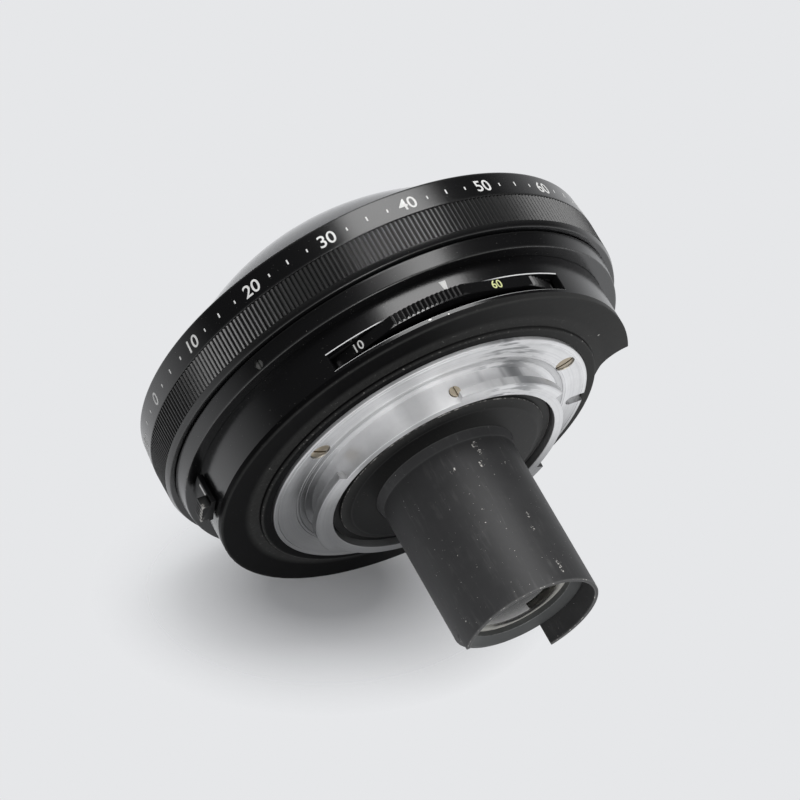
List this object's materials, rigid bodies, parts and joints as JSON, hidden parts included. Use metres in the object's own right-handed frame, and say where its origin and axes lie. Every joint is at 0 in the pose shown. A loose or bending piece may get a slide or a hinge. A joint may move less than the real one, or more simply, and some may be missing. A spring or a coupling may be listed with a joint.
{
  "type": "fisheye lens",
  "caption": "Circular fisheye camera lens with a knurled grip, a filter turret turned through a side window, an aperture lever, a bayonet mount and a long rear tube",
  "frame": {"origin": "centre of the mount flange's rear face, on the optical axis", "axes": "+Y along the optical axis towards the camera, +Z towards the index mark above the filter window, +X to the left seen from the camera side"},
  "size_m": [0.0828, 0.0777, 0.0828],
  "materials": {
    "black_enamel": "semi-gloss black enamel, worn bright on the edges",
    "grip_black": "semi-gloss black over straight knurling",
    "inner_black": "matt black anodised",
    "tube_black": "matt black with scuffs and chips",
    "wheel_black": "semi-gloss black, with pale label panels",
    "blade_steel": "blued steel",
    "bright_ring": "satin chrome, turned",
    "brass": "dull brass",
    "dark_steel": "blackened steel",
    "lens_glass": "coated optical glass",
    "filter_clear": "clear filter glass",
    "filter_yellow": "yellow filter glass",
    "filter_orange": "orange filter glass",
    "filter_red": "red filter glass",
    "filter_green": "yellow-green filter glass",
    "filter_blue": "pale blue filter glass"
  },
  "bodies": {
    "root": {"bayonet_mount": "bright_ring", "bulkhead": "inner_black", "cone_ring": "black_enamel", "detent_plunger": "dark_steel", "detent_spring": "dark_steel", "doublet_front": "lens_glass", "doublet_rear": "lens_glass", "front_bezel": "black_enamel", "front_cell": "inner_black", "front_element": "lens_glass", "front_spacer": "inner_black", "grip_ring": "grip_black", "grub_screw_1": "dark_steel", "grub_screw_2": "dark_steel", "grub_screw_3": "dark_steel", "inner_housing": "inner_black", "iris_cover": "inner_black", "iris_housing": "inner_black", "long_spacer": "inner_black", "main_barrel": "black_enamel", "mount_boss": "black_enamel", "mount_screw_1": "brass", "mount_screw_2": "brass", "mount_screw_3": "brass", "rear_element": "lens_glass", "rear_lens_front": "lens_glass", "rear_plate": "black_enamel", "rear_retainer": "tube_black", "rear_spacer": "inner_black", "rear_tube": "tube_black", "second_element": "lens_glass", "second_retainer": "inner_black", "spring_screw": "dark_steel", "stop_screw": "brass", "third_element": "lens_glass", "wheel_axle": "dark_steel"},
    "aperture": {"aperture_ring": "inner_black", "lever_arm": "black_enamel", "lever_knob": "black_enamel"},
    "turret": {"filter_wheel": "wheel_black", "filter_glass_1": "filter_clear", "filter_glass_2": "filter_yellow", "filter_glass_3": "filter_orange", "filter_glass_4": "filter_red", "filter_glass_5": "filter_green", "filter_glass_6": "filter_blue", "filter_keeper_1": "wheel_black", "filter_keeper_2": "wheel_black", "filter_keeper_3": "wheel_black", "filter_keeper_4": "wheel_black", "filter_keeper_5": "wheel_black", "filter_keeper_6": "wheel_black"},
    "blade_1": {"iris_blade_1": "blade_steel"},
    "blade_2": {"iris_blade_2": "blade_steel"},
    "blade_3": {"iris_blade_3": "blade_steel"},
    "blade_4": {"iris_blade_4": "blade_steel"},
    "blade_5": {"iris_blade_5": "blade_steel"},
    "blade_6": {"iris_blade_6": "blade_steel"}
  },
  "joints": [
    {"name": "aperture_turn", "type": "hinge", "parent": "root", "child": "aperture", "pos_m": [0, -0.00915, 0], "axis": [0, 1, 0], "range_deg": [0, 30]},
    {"name": "turret_turn", "type": "hinge", "parent": "root", "child": "turret", "pos_m": [0, -0.0055, 0.01346], "axis": [0, 1, 0], "continuous": true},
    {"name": "blade_1_pivot", "type": "hinge", "parent": "root", "child": "blade_1", "pos_m": [0.0098, -0.0082, 0], "axis": [0, 1, 0], "range_deg": [-18, 0]},
    {"name": "blade_2_pivot", "type": "hinge", "parent": "root", "child": "blade_2", "pos_m": [0.0049, -0.0082, 0.00849], "axis": [0, 1, 0], "range_deg": [-18, 0]},
    {"name": "blade_3_pivot", "type": "hinge", "parent": "root", "child": "blade_3", "pos_m": [-0.0049, -0.0082, 0.00849], "axis": [0, 1, 0], "range_deg": [-18, 0]},
    {"name": "blade_4_pivot", "type": "hinge", "parent": "root", "child": "blade_4", "pos_m": [-0.0098, -0.0082, 0], "axis": [0, 1, 0], "range_deg": [-18, 0]},
    {"name": "blade_5_pivot", "type": "hinge", "parent": "root", "child": "blade_5", "pos_m": [-0.0049, -0.0082, -0.00849], "axis": [0, 1, 0], "range_deg": [-18, 0]},
    {"name": "blade_6_pivot", "type": "hinge", "parent": "root", "child": "blade_6", "pos_m": [0.0049, -0.0082, -0.00849], "axis": [0, 1, 0], "range_deg": [-18, 0]}
  ],
  "couplings": [
    {"joint": "blade_1_pivot", "follows": "aperture_turn", "ratio": -0.6},
    {"joint": "blade_2_pivot", "follows": "aperture_turn", "ratio": -0.6},
    {"joint": "blade_3_pivot", "follows": "aperture_turn", "ratio": -0.6},
    {"joint": "blade_4_pivot", "follows": "aperture_turn", "ratio": -0.6},
    {"joint": "blade_5_pivot", "follows": "aperture_turn", "ratio": -0.6},
    {"joint": "blade_6_pivot", "follows": "aperture_turn", "ratio": -0.6}
  ]
}
